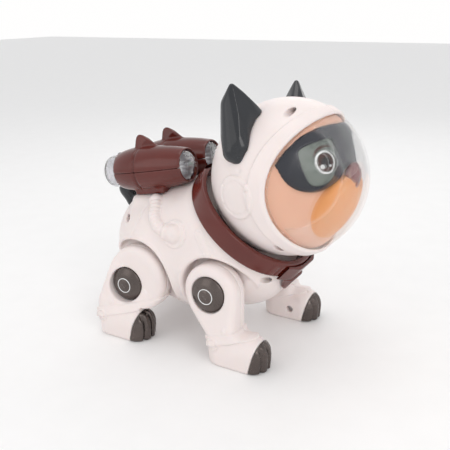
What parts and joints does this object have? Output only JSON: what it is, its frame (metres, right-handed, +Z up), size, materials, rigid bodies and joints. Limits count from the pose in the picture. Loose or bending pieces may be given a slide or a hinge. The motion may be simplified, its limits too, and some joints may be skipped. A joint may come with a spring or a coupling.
{
  "type": "robot dog toy",
  "caption": "Robot dog toy with a bubble helmet that turns, jet pods on its back, a collar, a wagging tail and four legs that swing in a trot.",
  "frame": {"origin": "centre of the bounding box at floor level, between the four paws", "axes": "+Z up, the dog faces -Y, its right side is -X"},
  "size_m": [0.116, 0.2044, 0.1927],
  "materials": {
    "white_shell": "satin warm white moulded plastic",
    "maroon_plastic": "glossy reddish-brown moulded plastic",
    "dark_grey_plastic": "glossy dark grey moulded plastic",
    "pearl_grey": "gunmetal pearl paint",
    "clear_plastic": "clear polished plastic",
    "frosted_clear": "frosted clear plastic",
    "peach_skin": "satin peach moulded plastic",
    "navy_frame": "dark navy painted frame",
    "grey_lens": "grey-green printed lens plate",
    "orange_plastic": "satin orange plastic",
    "nose_maroon": "glossy maroon plastic",
    "steel": "bright zinc plated steel",
    "black_plastic": "black moulded plastic",
    "ivory_nylon": "ivory nylon",
    "cell_wrap": "printed cell wrap",
    "board_green": "green circuit board",
    "brass": "brass"
  },
  "bodies": {
    "torso": {"body_shell_right": "white_shell", "body_shell_left": "white_shell", "collar_band": "maroon_plastic", "collar_tag": "maroon_plastic", "jet_upper_shell_right": "maroon_plastic", "jet_upper_shell_left": "maroon_plastic", "jet_lower_shell_right": "maroon_plastic", "jet_lower_shell_left": "maroon_plastic", "jet_front_lens_right": "clear_plastic", "jet_front_lens_left": "clear_plastic", "jet_nozzle_right": "frosted_clear", "jet_nozzle_left": "frosted_clear", "jet_leds": "ivory_nylon", "battery_box": "black_plastic", "battery_cover": "white_shell", "batteries": "cell_wrap", "battery_contacts": "steel", "main_board": "board_green", "speaker": "black_plastic", "motor": "steel", "gearbox_housing": "ivory_nylon", "hip_axle_front": "steel", "hip_axle_rear": "steel", "body_screws": "steel", "neck_post": "ivory_nylon"},
    "head": {"helmet_right_shell": "white_shell", "helmet_left_shell": "white_shell", "visor_dome": "clear_plastic", "face_mask": "peach_skin", "goggle_frame": "navy_frame", "goggle_lenses": "grey_lens", "muzzle": "orange_plastic", "nose": "nose_maroon", "ear_right": "dark_grey_plastic", "ear_left": "dark_grey_plastic", "head_screws": "steel"},
    "tail_body": {"tail": "dark_grey_plastic"},
    "switch_knob": {"power_switch": "black_plastic"},
    "crank": {"crank_gear": "ivory_nylon"},
    "pinion": {"motor_pinion": "brass"},
    "leg_front_right": {"leg_outer_front_right": "white_shell", "leg_inner_front_right": "white_shell", "hip_cap_front_right": "pearl_grey", "toe_cap_front_right": "pearl_grey", "leg_screws_front_right": "steel"},
    "leg_front_left": {"leg_outer_front_left": "white_shell", "leg_inner_front_left": "white_shell", "hip_cap_front_left": "pearl_grey", "toe_cap_front_left": "pearl_grey", "leg_screws_front_left": "steel"},
    "leg_rear_right": {"leg_outer_rear_right": "white_shell", "leg_inner_rear_right": "white_shell", "hip_cap_rear_right": "pearl_grey", "toe_cap_rear_right": "pearl_grey", "leg_screws_rear_right": "steel"},
    "leg_rear_left": {"leg_outer_rear_left": "white_shell", "leg_inner_rear_left": "white_shell", "hip_cap_rear_left": "pearl_grey", "toe_cap_rear_left": "pearl_grey", "leg_screws_rear_left": "steel"}
  },
  "joints": [
    {"name": "head_turn", "type": "hinge", "parent": "torso", "child": "head", "pos_m": [0, -0.0479, 0.1267], "axis": [0, -0.6561, 0.7547], "range_deg": [-24, 36]},
    {"name": "tail_wag", "type": "hinge", "parent": "torso", "child": "tail_body", "pos_m": [0, 0.084, 0.092], "axis": [0, 0, 1], "range_deg": [-8, 8]},
    {"name": "power_slide", "type": "slide", "parent": "torso", "child": "switch_knob", "axis": [1, 0, 0], "range_m": [0, 0.0045]},
    {"name": "crank_spin", "type": "hinge", "parent": "torso", "child": "crank", "pos_m": [0, 0.02, 0.066], "axis": [1, 0, 0], "continuous": true},
    {"name": "pinion_spin", "type": "hinge", "parent": "torso", "child": "pinion", "pos_m": [0, 0.03852, 0.066], "axis": [1, 0, 0], "continuous": true},
    {"name": "leg_swing_front_right", "type": "hinge", "parent": "torso", "child": "leg_front_right", "pos_m": [-0.043, -0.0109, 0.0498], "axis": [1, 0, 0], "range_deg": [-12, 12]},
    {"name": "leg_swing_front_left", "type": "hinge", "parent": "torso", "child": "leg_front_left", "pos_m": [0.043, -0.0109, 0.0498], "axis": [1, 0, 0], "range_deg": [-12, 12]},
    {"name": "leg_swing_rear_right", "type": "hinge", "parent": "torso", "child": "leg_rear_right", "pos_m": [-0.043, 0.0624, 0.0417], "axis": [1, 0, 0], "range_deg": [-12, 12]},
    {"name": "leg_swing_rear_left", "type": "hinge", "parent": "torso", "child": "leg_rear_left", "pos_m": [0.043, 0.0624, 0.0417], "axis": [1, 0, 0], "range_deg": [-12, 12]}
  ],
  "couplings": [
    {"joint": "pinion_spin", "follows": "crank_spin", "ratio": -3.6},
    {"joint": "leg_swing_rear_left", "follows": "leg_swing_front_right", "ratio": 1},
    {"joint": "leg_swing_front_left", "follows": "leg_swing_front_right", "ratio": -1},
    {"joint": "leg_swing_rear_right", "follows": "leg_swing_front_right", "ratio": -1}
  ]
}
